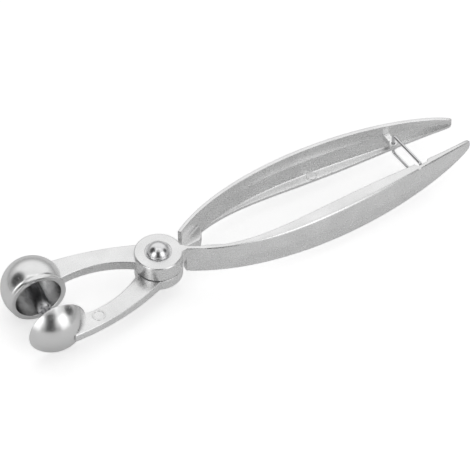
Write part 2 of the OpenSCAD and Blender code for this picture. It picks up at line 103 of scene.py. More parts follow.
def spread(
    tree: bpy.types.NodeTree,
    value: bpy.types.NodeSocket,
    source: tuple[float, float],
    target: tuple[float, float | bpy.types.NodeSocket],
) -> bpy.types.NodeSocket:
    """Spread a value from one span evenly over another, held at both ends.

    Args:
        tree: Tree that gets the node.
        value: Value to spread.
        source: Start and end of the span that the value is read in.
        target: Start and end of the span that comes out; the end may be linked.

    Returns:
        The spread value.
    """
    node = tree.nodes.new("ShaderNodeMapRange")
    node.inputs["From Min"].default_value, node.inputs["From Max"].default_value = source
    low, high = target
    node.inputs["To Min"].default_value = low
    if isinstance(high, bpy.types.NodeSocket):
        tree.links.new(high, node.inputs["To Max"])
    else:
        node.inputs["To Max"].default_value = high
    tree.links.new(value, node.inputs["Value"])
    return node.outputs["Result"]


@dataclass(frozen=True)
class MetalFinish:
    """A bare metal surface: mottled tone, brushed streaks, pits and softened edges.

    Scales are in features to the metre, and bump_depth and edge are in metres.
    """

    name: str
    colour: tuple[float, float, float]
    roughness: float
    smoothest: float = 0.03
    mottle: float = 0.05
    mottle_scale: float = 120.0
    mottle_detail: float = 5.0
    grain: float = 0.05
    grain_scale: float = 1500.0
    grain_detail: float = 3.0
    noise_span: tuple[float, float] = (0.25, 0.75)
    streak: float = 0.0
    streak_share: float = 0.6
    streak_detail: float = 4.0
    streak_stretch: tuple[float, float, float] = (1.0, 6.0, 6.0)
    pits: float = 0.0
    pit_scale: float = 420.0
    pit_span: tuple[float, float] = (0.05, 0.16)
    bump: float = 0.02
    bump_depth: float = 0.00004
    edge: float = 0.0002
    edge_samples: int = 6

    def build(self) -> bpy.types.Material:
        """Make the material.

        Returns:
            The material, with its patterns read from Object coordinates.
        """
        material = bpy.data.materials.new(self.name)
        material.use_nodes = True
        tree = material.node_tree
        shader = tree.nodes["Principled BSDF"]
        shader.inputs["Metallic"].default_value = 1.0
        spot = tree.nodes.new("ShaderNodeTexCoord").outputs["Object"]
        streak = self._streak(tree, spot)
        tree.links.new(self._tint(tree, spot), shader.inputs["Base Color"])
        tree.links.new(self._rough(tree, spot, streak), shader.inputs["Roughness"])
        tree.links.new(self._normal(tree, streak), shader.inputs["Normal"])
        return material

    def _streak(
        self, tree: bpy.types.NodeTree, spot: bpy.types.NodeSocket
    ) -> bpy.types.NodeSocket:
        """Noise that is drawn out along one axis."""
        stretch = tree.nodes.new("ShaderNodeMapping")
        stretch.inputs["Scale"].default_value = self.streak_stretch
        tree.links.new(spot, stretch.inputs["Vector"])
        scale = self.streak_share * self.grain_scale
        return self._noise(tree, stretch.outputs["Vector"], scale, self.streak_detail)

    def _tint(self, tree: bpy.types.NodeTree, spot: bpy.types.NodeSocket) -> bpy.types.NodeSocket:
        """Colour times the mottled tone, with dark pits at the middles of scattered cells."""
        mottle = self._noise(tree, spot, self.mottle_scale, self.mottle_detail)
        tone = spread(tree, mottle, self.noise_span, (1.0 - self.mottle, 1.0 + self.mottle))
        cells = tree.nodes.new("ShaderNodeTexVoronoi")
        cells.inputs["Scale"].default_value = self.pit_scale
        tree.links.new(spot, cells.inputs["Vector"])
        pits = spread(tree, cells.outputs["Distance"], self.pit_span, (1.0 - self.pits, 1.0))
        tint = tree.nodes.new("ShaderNodeMix")
        tint.data_type = "RGBA"
        tint.blend_type = "MULTIPLY"
        tint.inputs["Factor"].default_value = 1.0
        tint.inputs["A"].default_value = (*self.colour, 1.0)
        tree.links.new(join_values(tree, "MULTIPLY", tone, pits), tint.inputs["B"])
        return tint.outputs["Result"]

    def _rough(
        self,
        tree: bpy.types.NodeTree,
        spot: bpy.types.NodeSocket,
        streak: bpy.types.NodeSocket,
    ) -> bpy.types.NodeSocket:
        """Roughness with its grain and its streaks."""
        noise = self._noise(tree, spot, self.grain_scale, self.grain_detail)
        low = max(self.smoothest, self.roughness - self.grain)
        grain = spread(tree, noise, self.noise_span, (low, self.roughness + self.grain))
        brushed = spread(tree, streak, self.noise_span, (-self.streak, self.streak))
        return join_values(tree, "ADD", grain, brushed, clamp=True)

    def _normal(
        self, tree: bpy.types.NodeTree, streak: bpy.types.NodeSocket
    ) -> bpy.types.NodeSocket:
        """Normal with softened edges and shallow streaks."""
        soft = tree.nodes.new("ShaderNodeBevel")
        soft.samples = self.edge_samples
        soft.inputs["Radius"].default_value = self.edge
        bump = tree.nodes.new("ShaderNodeBump")
        bump.inputs["Strength"].default_value = self.bump
        bump.inputs["Distance"].default_value = self.bump_depth
        tree.links.new(streak, bump.inputs["Height"])
        tree.links.new(soft.outputs["Normal"], bump.inputs["Normal"])
        return bump.outputs["Normal"]

    @staticmethod
    def _noise(
        tree: bpy.types.NodeTree, vector: bpy.types.NodeSocket, scale: float, detail: float
    ) -> bpy.types.NodeSocket:
        """Noise that reads the given coordinates."""
        noise = tree.nodes.new("ShaderNodeTexNoise")
        noise.inputs["Scale"].default_value = scale
        noise.inputs["Detail"].default_value = detail
        tree.links.new(vector, noise.inputs["Vector"])
        return noise.outputs["Fac"]


FINISHES: dict[Coat, MetalFinish] = {
    Coat.CAST: MetalFinish(
        "cast_satin", (0.84, 0.84, 0.84), 0.29, mottle=0.07, streak=0.05,
        streak_stretch=(1.0, 5.0, 5.0), pits=0.10, bump=0.12, edge=0.0003),
    Coat.POLISHED: MetalFinish(
        "polished_jaw", (0.82, 0.82, 0.82), 0.24, mottle=0.04, grain=0.03, streak=0.03,
        bump=0.05),
    Coat.TURNED: MetalFinish(
        "turned_punch", (0.66, 0.66, 0.67), 0.22, streak=0.05,
        streak_stretch=(1.0, 8.0, 1.0), bump=0.15),
    Coat.RIVET: MetalFinish(
        "rivet_head", (0.80, 0.80, 0.81), 0.22, mottle=0.03, grain=0.04, bump=0.04),
    Coat.WIRE: MetalFinish("bright_wire", (0.74, 0.74, 0.75), 0.18, grain=0.04, bump=0.05),
    Coat.DARK: MetalFinish("dark_washer", (0.30, 0.30, 0.31), 0.45),
}


@dataclass(frozen=True)
class PhotoCamera:
    """The camera of the photograph, as fitted to the pivot, the arms and the handles."""

    azimuth_deg: float = PHOTO_AZIMUTH_DEG
    elevation_deg: float = 47.99
    roll_deg: float = -0.70
    distance: float = 1.801
    aim_right: float = -26.3 * MM
    aim_up: float = -12.7 * MM
    focal_px: float = 5220.0
    image_px: float = 470.0
    sensor_mm: float = 36.0
    clip_start: float = 0.1
    clip_end: float = 20.0

    def axes(self) -> np.ndarray:
        """Work out the camera's axes in the frame.

        Returns:
            Rows right, up and forward, rolled about forward.
        """
        phi, tilt, roll = np.radians([self.azimuth_deg, self.elevation_deg, self.roll_deg])
        right = np.array([np.cos(phi), -np.sin(phi), 0.0])
        away = np.array([np.sin(phi), np.cos(phi), 0.0])
        forward = away * np.cos(tilt) - np.array([0.0, 0.0, np.sin(tilt)])
        up = away * np.sin(tilt) + np.array([0.0, 0.0, np.cos(tilt)])
        turned_right = np.cos(roll) * right + np.sin(roll) * up
        turned_up = np.cos(roll) * up - np.sin(roll) * right
        return np.array([turned_right, turned_up, forward])

    def build(self) -> None:
        """Put the camera in the scene and make it the active one."""
        axes = self.axes()
        place = -axes.T @ np.array([self.aim_right, self.aim_up, self.distance])
        lens = bpy.data.cameras.new("photo_camera")
        lens.sensor_width = self.sensor_mm
        lens.lens = self.focal_px * self.sensor_mm / self.image_px
        lens.clip_start = self.clip_start
        lens.clip_end = self.clip_end
        camera = bpy.data.objects.new("photo_camera", lens)
        matrix = Matrix.Identity(4)
        for row in range(3):
            matrix[row][0], matrix[row][1] = axes[0][row], axes[1][row]
            matrix[row][2], matrix[row][3] = -axes[2][row], place[row]
        camera.matrix_world = matrix
        bpy.context.collection.objects.link(camera)
        bpy.context.scene.camera = camera


@dataclass(frozen=True)
class SoftBox:
    """A lamp that faces the object; azimuth 0 is the camera's side, lengths in metres."""

    name: str
    azimuth_deg: float
    elevation_deg: float
    distance: float
    width: float
    height: float
    strength: float


@dataclass(frozen=True)
class DimPatch:
    """A round dim part of the room; span holds the cosines where it is full and where it ends."""

    azimuth_deg: float
    elevation_deg: float
    span: tuple[float, float]


@dataclass(frozen=True)
class Studio:
    """White table, soft boxes around it and a pale room with a dim gap at the camera.

    The spans are shares of a unit direction along the axis that each of them reads.
    """

    azimuth_deg: float = PHOTO_AZIMUTH_DEG
    table_z: float = -7.4 * MM
    table_half: float = 4.0
    table_white: float = 0.75
    table_rough: float = 0.9
    camera_lift: float = 0.53
    gloss_share: float = 0.1
    horizon_grey: float = 0.36
    zenith_grey: float = 0.86
    sky_span: tuple[float, float] = (0.05, 0.5)
    gap_grey: float = 0.05
    gap_span: tuple[float, float] = (0.20, 0.36)
    behind_span: tuple[float, float] = (-0.30, 0.0)
    patches: tuple[DimPatch, ...] = (
        DimPatch(-88.0, 39.0, (0.93, 0.86)),
        DimPatch(92.0, 30.0, (0.975, 0.94)),
    )
    boxes: tuple[SoftBox, ...] = (
        SoftBox("overhead_box", 0.0, 76.0, 0.9, 0.70, 0.50, 0.5),
        SoftBox("left_box", -47.0, 22.0, 0.9, 0.50, 0.80, 0.8),
        SoftBox("right_box", 47.0, 22.0, 0.9, 0.50, 0.80, 0.8),
        SoftBox("back_box", 180.0, 45.0, 1.0, 1.80, 0.90, 0.10),
    )

    @property
    def right(self) -> Vector:
        """Level direction to the camera's right."""
        a = math.radians(self.azimuth_deg)
        return Vector((math.cos(a), -math.sin(a), 0.0))

    @property
    def away(self) -> Vector:
        """Level direction away from the camera."""
        a = math.radians(self.azimuth_deg)
        return Vector((math.sin(a), math.cos(a), 0.0))

    def direction(self, azimuth_deg: float, elevation_deg: float) -> Vector:
        """Work out the direction to a place in the room.

        Args:
            azimuth_deg: Turn from the camera's side, towards its right.
            elevation_deg: Height over the level.

        Returns:
            The unit vector.
        """
        b, e = math.radians(azimuth_deg), math.radians(elevation_deg)
        level = -self.away * math.cos(b) + self.right * math.sin(b)
        return level * math.cos(e) + Vector((0.0, 0.0, math.sin(e)))

    def build(self) -> None:
        """Make the table, the room and the soft boxes."""
        self._table()
        self._room()
        for box in self.boxes:
            lamp = bpy.data.lights.new(box.name, "AREA")
            lamp.shape = "RECTANGLE"
            lamp.size, lamp.size_y = box.width, box.height
            lamp.energy = box.strength * math.pi * box.width * box.height
            towards = self.direction(box.azimuth_deg, box.elevation_deg)
            light = bpy.data.objects.new(box.name, lamp)
            light.location = towards * box.distance
            light.rotation_mode = "QUATERNION"
            light.rotation_quaternion = towards.to_track_quat("Z", "Y")
            bpy.context.collection.objects.link(light)

    def _table(self) -> None:
        """Make the table top, lifted towards white for the camera and barely in reflections."""
        h, z = self.table_half, self.table_z
        mesh = bpy.data.meshes.new("table")
        mesh.from_pydata([(-h, -h, z), (h, -h, z), (h, h, z), (-h, h, z)], [], [(0, 1, 2, 3)])
        table = bpy.data.objects.new("table", mesh)
        bpy.context.collection.objects.link(table)
        material = bpy.data.materials.new("white_table")
        material.use_nodes = True
        tree = material.node_tree
        shader = tree.nodes["Principled BSDF"]
        shader.inputs["Base Color"].default_value = (*[self.table_white] * 3, 1.0)
        shader.inputs["Roughness"].default_value = self.table_rough
        shader.inputs["Specular IOR Level"].default_value = 0.0
        shader.inputs["Emission Color"].default_value = WHITE
        seen = tree.nodes.new("ShaderNodeLightPath").outputs["Is Camera Ray"]
        share = join_values(tree, "MAXIMUM", seen, self.gloss_share)
        lift = join_values(tree, "MULTIPLY", share, self.camera_lift)
        tree.links.new(lift, shader.inputs["Emission Strength"])
        mesh.materials.append(material)

    def _room(self) -> None:
        """Make the room that the object reflects; the camera itself sees white."""
        world = bpy.data.worlds.new("room")
        bpy.context.scene.world = world
        world.use_nodes = True
        tree = world.node_tree
        tree.nodes.clear()
        room = tree.nodes.new("ShaderNodeBackground")
        room.inputs["Color"].default_value = WHITE
        tree.links.new(self._strength(tree), room.inputs["Strength"])
        white = tree.nodes.new("ShaderNodeBackground")
        white.inputs["Color"].default_value = WHITE
        path = tree.nodes.new("ShaderNodeLightPath")
        mix = tree.nodes.new("ShaderNodeMixShader")
        out = tree.nodes.new("ShaderNodeOutputWorld")
        tree.links.new(path.outputs["Is Camera Ray"], mix.inputs["Fac"])
        tree.links.new(room.outputs["Background"], mix.inputs[1])
        tree.links.new(white.outputs["Background"], mix.inputs[2])
        tree.links.new(mix.outputs["Shader"], out.inputs["Surface"])

    def _strength(self, tree: bpy.types.NodeTree) -> bpy.types.NodeSocket:
        """Strength of the room by direction.

        It rises from the horizon to the ceiling, and is dim in an upright gap at the
        camera's side and in a round patch at each side.
        """
        sideways = self._reach(tree, self.right, self.gap_span, both=True)
        behind = self._reach(tree, self.away, self.behind_span)
        bright = join_values(tree, "MAXIMUM", sideways, behind)
        for patch in self.patches:
            middle = self.direction(patch.azimuth_deg, patch.elevation_deg)
            edge = self._reach(tree, middle, patch.span)
            bright = join_values(tree, "MINIMUM", bright, edge)
        height = self._reach(tree, Vector((0.0, 0.0, 1.0)), self.sky_span)
        sky = spread(tree, height, UNIT_SPAN, (self.horizon_grey, self.zenith_grey))
        return spread(tree, bright, UNIT_SPAN, (self.gap_grey, sky))

    @staticmethod
    def _reach(
        tree: bpy.types.NodeTree, axis: Vector, span: tuple[float, float], both: bool = False
    ) -> bpy.types.NodeSocket:
        """Share of a span that a direction's part along an axis covers, on one or both sides."""
        where = tree.nodes.new("ShaderNodeTexCoord")
        dot = tree.nodes.new("ShaderNodeVectorMath")
        dot.operation = "DOT_PRODUCT"
        dot.inputs[1].default_value = axis
        tree.links.new(where.outputs["Generated"], dot.inputs[0])
        value = dot.outputs["Value"]
        if both:
            value = join_values(tree, "ABSOLUTE", value, 0.0)
        return spread(tree, value, span, UNIT_SPAN)


def rounded(
    corners: np.ndarray,
    radii: np.ndarray | list,
    steps: int,
    closed: bool,
    largest_cut: float = 0.45,
) -> np.ndarray:
    """Round the corners of one or many plane or space polygons.

    Each corner P becomes the quadratic curve (1-u)^2 A + 2u(1-u) P + u^2 B, where A
    and B lie on the two sides that meet there, no further from P than a share of them.

    Args:
        corners: Points, (..., k, dims).
        radii: Distance of A and B from P at each corner, (k,).
        steps: Points that each corner becomes.
        closed: Whether the last corner joins the first; if not, both ends stay sharp.
        largest_cut: Share of a side that the rounding may take at each end.

    Returns:
        Points, (..., k * steps, dims) or, if open, with single end points.
    """
    ahead = np.roll(corners, -1, axis=-2) - corners
    behind = np.roll(corners, 1, axis=-2) - corners
    far = np.linalg.norm(ahead, axis=-1, keepdims=True)
    near = np.linalg.norm(behind, axis=-1, keepdims=True)
    wanted = np.asarray(radii)[:, None]
    cut = np.minimum(np.minimum(wanted, largest_cut * far), largest_cut * near)
    first = (corners + behind / near * cut)[..., None, :]
    last = (corners + ahead / far * cut)[..., None, :]
    u = np.linspace(0.0, 1.0, steps)[:, None]
    curve = (1 - u) ** 2 * first + 2 * u * (1 - u) * corners[..., None, :] + u * u * last
    if closed:
        return curve.reshape(*corners.shape[:-2], -1, corners.shape[-1])
    inner = curve[..., 1:-1, :, :].reshape(*corners.shape[:-2], -1, corners.shape[-1])
    return np.concatenate([corners[..., :1, :], inner, corners[..., -1:, :]], axis=-2)


def box_corners(low_a: float, high_a: float, low_b: float, high_b: float) -> np.ndarray:
    """Corners of a rectangle, anticlockwise from the lowest, (4, 2)."""
    return np.array([[low_a, low_b], [high_a, low_b], [high_a, high_b], [low_a, high_b]])


def cap_ball(rim_r: float, depth: float) -> tuple[float, float]:
    """Find the ball whose cap has the given rim and depth.

    Args:
        rim_r: Radius of the rim, which lies at 0 along the axis.
        depth: Place of the cap's top along the axis.

    Returns:
        The ball's radius, and the place of its middle along the axis.
    """
    ball_r = (rim_r**2 + depth**2) / (2 * depth)
    return ball_r, depth - ball_r


def ball_arc(radius: float, middle: float, start: float, end: float, count: int) -> np.ndarray:
    """Circle about (0, middle) as (r sin a, middle + r cos a), a from start to end."""
    a = np.linspace(start, end, count)
    return np.stack([radius * np.sin(a), middle + radius * np.cos(a)], axis=1)


def grid_faces(rows: int, columns: int, wrap_rows: bool) -> np.ndarray:
    """Quads of a grid whose columns always wrap round, and whose rows may."""
    row, column = np.meshgrid(
        np.arange(rows if wrap_rows else rows - 1), np.arange(columns), indexing="ij"
    )
    below, beside = (row + 1) % rows, (column + 1) % columns
    quads = [row * columns + column, below * columns + column,
             below * columns + beside, row * columns + beside]
    return np.stack(quads, axis=-1).reshape(-1, 4)


@dataclass(frozen=True)
class Place:
    """Frame of a turned piece: the origin and the three axes, the turning axis last."""

    origin: np.ndarray
    axes: np.ndarray

    @staticmethod
    def upright(x: float = 0.0, y: float = 0.0) -> "Place":
        """Upright frame over a point of the plan."""
        return Place(np.array([x, y, 0.0]), np.eye(3))

    @staticmethod
    def mouth(side: int, reach: float, angle_deg: float, turn_deg: float, z: float) -> "Place":
        """Frame of a jaw's mouth, its axis pointing to the closed end.

        Args:
            side: 1 for the hood and -1 for the dish.
            reach: Distance of the mouth's middle from the pivot.
            angle_deg: Angle of that middle off the long axis.
            turn_deg: Turn of the jaw's axis.
            z: Height of the mouth's middle.

        Returns:
            The frame.
        """
        a, b = math.radians(angle_deg), math.radians(side * turn_deg)
        origin = np.array([-reach * math.cos(a), side * reach * math.sin(a), z])
        along = np.array([-side * math.sin(b), side * math.cos(b), 0.0])
        across = np.array([0.0, 0.0, 1.0])
        return Place(origin, np.array([np.cross(across, along), across, along]))

    def put(self, points: np.ndarray) -> np.ndarray:
        """Carry local points into the frame of the model."""
        return self.origin + points @ self.axes


@dataclass(frozen=True)
class Maker:
    """Turns point grids into pieces: closed mesh, finish, body and stand-in."""

    materials: dict[Coat, bpy.types.Material]
    weld: float = 1e-7

    def piece(
        self,
        name: str,
        skin: Skin,
        body: str,
        node: str,
        coat: Coat,
        slot: str,
        crease_deg: float = 32.0,
    ) -> None:
        """Make one piece.

        Args:
            name: Name of the piece.
            skin: Its points in millimetres and its closed faces.
            body: Body that it rides on.
            node: CAD node that it stands in for.
            coat: Its finish.
            slot: Not used.
            crease_deg: Angle between faces above which an edge stays sharp.
        """
        points, faces = skin
        mesh = bpy.data.meshes.new(name)
        mesh.from_pydata((points * MM).tolist(), [], faces)
        shape = bmesh.new()
        shape.from_mesh(mesh)
        bmesh.ops.remove_doubles(shape, verts=shape.verts, dist=self.weld)
        bmesh.ops.dissolve_degenerate(shape, edges=shape.edges, dist=self.weld)
        bmesh.ops.recalc_face_normals(shape, faces=shape.faces)
        shape.to_mesh(mesh)
        shape.free()
        mesh.shade_smooth()
        mesh.set_sharp_from_angle(angle=math.radians(crease_deg))
        mesh.materials.append(self.materials[coat])
        thing = bpy.data.objects.new(name, mesh)
        bpy.context.collection.objects.link(thing)
        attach(thing, body)
        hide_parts(node)
        log.info("made %s: %d faces, on %s", name, len(mesh.polygons), body)

    @staticmethod
    def turned(
        profile: np.ndarray, place: Place, sides: int, loop: bool, shift: np.ndarray | float = 0.0
    ) -> Skin:
        """Turn a profile of (radius, along) pairs round a frame's axis.

        The point at angle a is (r cos a, r sin a, s). A loop profile closes on itself,
        an open one starts and ends on the axis, where a fan of triangles closes it.

        Args:
            profile: The pairs, (k, 2).
            place: The frame that the shape is carried into.
            sides: Points round the axis.
            loop: Whether the profile is a ring section.
            shift: Extra distance along the axis, one number or (k - 2, sides).

        Returns:
            The points and the faces.
        """
        angle = np.arange(sides) * 2 * np.pi / sides
        body = profile if loop else profile[1:-1]
        grid = np.stack(np.broadcast_arrays(
            body[:, :1] * np.cos(angle), body[:, :1] * np.sin(angle), body[:, 1:] + shift
        ), axis=-1)
        faces = grid_faces(len(body), sides, loop).tolist()
        points = grid.reshape(-1, 3)
        if not loop:
            ends = np.array([[0.0, 0.0, profile[0, 1]], [0.0, 0.0, profile[-1, 1]]])
            count, here = len(points), np.arange(sides)
            there = (here + 1) % sides
            last = count - sides
            faces += np.stack([np.full(sides, count), here, there], 1).tolist()
            faces += np.stack([np.full(sides, count + 1), last + there, last + here], 1).tolist()
            points = np.concatenate([points, ends])
        return place.put(points), faces

    @staticmethod
    def loft(rings: np.ndarray) -> Skin:
        """Join rings (n, m, 3) into a closed skin, with a flat face at each end."""
        rows, columns = rings.shape[:2]
        faces = grid_faces(rows, columns, False).tolist()
        last = (rows - 1) * columns
        faces += [list(range(columns))[::-1], list(range(last, last + columns))]
        return rings.reshape(-1, 3), faces

    @staticmethod
    def wire(path: np.ndarray, normal: np.ndarray, radius: float, sides: int) -> Skin:
        """Run a round wire along a closed plane path.

        Point (i, b) is path i + radius (cos b n + sin b (t x n)), t the path's slope
        and n the plane's normal.

        Args:
            path: Points of the wire's middle line, (k, 3).
            normal: Normal of the path's plane.
            radius: Radius of the wire.
            sides: Points round the wire.

        Returns:
            The points and the faces.
        """
        slope = np.roll(path, -1, axis=0) - np.roll(path, 1, axis=0)
        slope /= np.linalg.norm(slope, axis=1, keepdims=True)
        n = np.broadcast_to(normal, path.shape)
        n = n - (n * slope).sum(axis=1, keepdims=True) * slope
        n /= np.linalg.norm(n, axis=1, keepdims=True)
        side = np.cross(slope, n)
        b = (np.arange(sides) * 2 * np.pi / sides)[:, None]
        rings = path[:, None] + radius * (np.cos(b) * n[:, None] + np.sin(b) * side[:, None])
        return rings.reshape(-1, 3), grid_faces(len(path), sides, True).tolist()


@dataclass(frozen=True)
class Plate:
    """Flat plate between two broken lines in plan, each a row of (x, y) points."""

    near: tuple[tuple[float, float], ...]
    far: tuple[tuple[float, float], ...]
    low: float
    high: float
    edge: float
    stations: int
    root_x: float | None = None

    def skin(self) -> Skin:
        """Sweep the plate's section, a rectangle with rounded corners, along x.

        Returns:
            The points and the faces, from root_x or the near line's start to its end.
        """
        near, far = np.array(self.near), np.array(self.far)
        start = near[0, 0] if self.root_x is None else self.root_x
        x = np.linspace(start, near[-1, 0], self.stations)
        side_a = np.interp(x, near[:, 0], near[:, 1])
        side_b = np.interp(x, far[:, 0], far[:, 1])
        across = np.stack([side_a, side_b, side_b, side_a], axis=1)
        along = np.broadcast_to([self.low, self.low, self.high, self.high], across.shape)
        section = rounded(np.stack([across, along], axis=2), [self.edge] * 4, 6, True)
        step = np.broadcast_to(x[:, None, None], (*section.shape[:2], 1))
        return Maker.loft(np.concatenate([step, section], axis=2))


@dataclass(frozen=True)
class Arm:
    """Curved arm of a jaw, between two arcs in plan.

    Both arms have the same inner arc, whose crest lies at (-crest_x, crest_y).
    """

    width: float
    outer_r: float
    outer_x: float
    low: float
    high: float
    end_inner: float
    end_outer: float
    start: float = -1.0
    crest_x: float = 30.0
    crest_y: float = 7.4
    inner_r: float = 36.0
    edge: float = 0.5
    skew_power: float = 1.5

    def skin(self, side: int) -> Skin:
        """Sweep the arm from the disc to the wall of its jaw.

        A section point at share v of the width runs from start to
        end_inner + (end_outer - end_inner) v^1.5 along x, and lies at
        inner(x) + v (outer(x) - inner(x)).

        Args:
            side: 1 for an arm towards +Y and -1 for one towards -Y.

        Returns:
            The points and the faces.
        """
        section = rounded(
            box_corners(0.0, self.width, self.low, self.high), [self.edge] * 4, 6, True)
        v = section[:, 0] / self.width
        u = np.linspace(0.0, 1.0, 120)[:, None]
        end = self.end_inner + (self.end_outer - self.end_inner) * v**self.skew_power
        x = self.start + u * (end - self.start)
        outer = np.sqrt(self.outer_r**2 - (x + self.outer_x) ** 2) - self.outer_r
        inner = np.sqrt(self.inner_r**2 - (x + self.crest_x) ** 2) - self.inner_r
        y = self.crest_y + inner + v * (self.width + outer - inner)
        height = np.broadcast_to(section[:, 1], x.shape)
        return Maker.loft(np.stack([x, side * y, height], axis=2))


@dataclass(frozen=True)
class Handle:
    """Channel handle, swept along one cubic curve in plan.

    flange_span holds the shares of the reach between which the flange stands out. In the
    upper lever the handle is mirrored, and its flange has a notch for the bail.
    """

    upper: bool
    root: tuple[float, float] = (10.0, 4.1)
    root_pull: tuple[float, float] = (45.5, 28.9)
    tip_pull: tuple[float, float] = (122.0, 7.6)
    tip: tuple[float, float] = (121.5, 6.1)
    root_h: float = 11.8
    middle_h: float = 14.1
    tip_h: float = 3.0
    middle_z: float = 5.2
    root_lift: float = 0.6
    wall: float = 1.4
    tip_thinning: float = 0.5
    bulge: float = 1.1
    flange: float = 4.7
    flange_span: tuple[float, float] = (0.16, 0.955)
    least_flange: float = 0.05
    notch: tuple[float, float] = (97.4, 102.8)
    notch_slopes: tuple[float, float] = (0.12, 0.9)
    fine_span: tuple[float, float] = (0.72, 0.82)
    hook_points: int = 8

    def curve(self, t: np.ndarray) -> tuple[np.ndarray, np.ndarray]:
        """Follow the handle's outer edge.

        Args:
            t: Shares of the curve, (k,).

        Returns:
            The points of the cubic curve, and the unit normals to its inside.
        """
        a, b, c, d = np.array([self.root, self.root_pull, self.tip_pull, self.tip])
        t = t[:, None]
        s = 1 - t
        point = s**3 * a + 3 * s**2 * t * b + 3 * s * t**2 * c + t**3 * d
        slope = 3 * s**2 * (b - a) + 6 * s * t * (c - b) + 3 * t**2 * (d - c)
        slope /= np.linalg.norm(slope, axis=1, keepdims=True)
        return point, np.stack([slope[:, 1], -slope[:, 0]], axis=1)

    def height(self, t: np.ndarray) -> np.ndarray:
        """Straight taper from root to tip with a belly sin(180 t^1.08)^1.6 on it."""
        belly = np.sin(np.pi * t**1.08).clip(0.0) ** 1.6
        straight = (self.root_h + self.tip_h) / 2
        return self.root_h + (self.tip_h - self.root_h) * t + (self.middle_h - straight) * belly

    def middle(self, t: np.ndarray) -> np.ndarray:
        """Height of the section's middle, which rises a little at the root."""
        return self.middle_z + self.root_lift * (1 - t) ** 12

    def flange_width(self, x: np.ndarray) -> np.ndarray:
        """Flange beyond the wall: sin(180 s)^1.5 along flange_span, less the notch."""
        start, end = self.flange_span
        s = ((x / self.tip[0] - start) / (end - start)).clip(0.0, 1.0)
        least = self.least_flange
        wide = least + (self.flange - self.wall) * np.sin(np.pi * s).clip(0.0) ** 1.5
        if self.upper:
            into = ((x - self.notch[0]) / self.notch_slopes[0]).clip(0.0, 1.0)
            out = ((self.notch[1] - x) / self.notch_slopes[1]).clip(0.0, 1.0)
            wide = wide + (least - wide) * into * out
        return wide

    def edge_at(self, x: float) -> tuple[float, float]:
        """Find the handle's edge at a distance from the pivot.

        Args:
            x: The distance.

        Returns:
            The offset of the outer edge there, and the height of the flange's foot.
        """
        t = np.linspace(0, 1, 400)[:-self.hook_points]
        point = self.curve(t)[0]
        share = np.array([np.interp(x, point[:, 0], t)])
        foot = self.middle(share) - self.height(share) / 2
        return float(np.interp(x, point[:, 0], point[:, 1])), float(foot[0])

    def skin(self) -> Skin:
        """Sweep the channel's section along the outer edge's curve.

        The section is a wall whose two sides bulge outwards by b (1 - (2t-1)^4) at
        half height, with a flange along one edge; every corner is rounded.

        Returns:
            The points and the faces.
        """
        t = np.unique(np.concatenate([np.linspace(0, 1, 260), np.linspace(*self.fine_span, 160)]))
        point, inward = self.curve(t)
        h = self.height(t) / 2
        w = self.wall * (1 - self.tip_thinning * t**14)
        e = w + self.flange_width(point[:, 0])
        b = self.bulge * (1 - (2 * t - 1) ** 4)
        zero = np.zeros_like(t)
        across = np.stack([zero, -b, zero, w, w - b, w, e, e], axis=1)
        along = np.stack([-h, zero, h, h, zero, -h + w, -h + w, -h], axis=1)
        radii = [1.1, 0.5, 0.4, 0.3, 0.5, 0.7, 0.35, 0.35]
        section = rounded(np.stack([across, along], axis=2), radii, 5, True)
        plan = point[:, None] + inward[:, None] * section[..., :1]
        rings = np.concatenate([plan, self.middle(t)[:, None, None] + section[..., 1:]], axis=2)
        if self.upper:
            rings = rings * [1, -1, -1] + [0, 0, 2 * self.middle_z]
        return Maker.loft(rings)


@dataclass(frozen=True)
class Lever:
    """One cast lever: pivot disc, jaw arm, neck and channel handle, as rounded skins."""

    maker: Maker
    name: str
    node: str
    body: str
    side: int
    arm: Arm
    neck: Plate
    handle: Handle
    hub_r: float = 8.45
    bore_r: float = 2.55

    def build(self) -> None:
        """Make the skins of this lever, each as a piece."""
        section, radii = self.disc()
        disc = Maker.turned(rounded(section, radii, 5, True), Place.upright(), 144, True)
        skins = {"disc": disc, "arm": self.arm.skin(self.side), "neck": self.neck.skin(),
                 "handle": self.handle.skin(), **self.extras()}
        for part, skin in skins.items():
            self.maker.piece(
                f"{self.name}_{part}", skin, self.body, self.node, Coat.CAST, "cast_lever")

    def disc(self) -> tuple[np.ndarray, list]:
        """Section of the pivot disc as (radius, height) corners, and their roundings."""
        raise NotImplementedError

    def extras(self) -> dict[str, Skin]:
        """Small forms that only this lever has, by name."""
        raise NotImplementedError


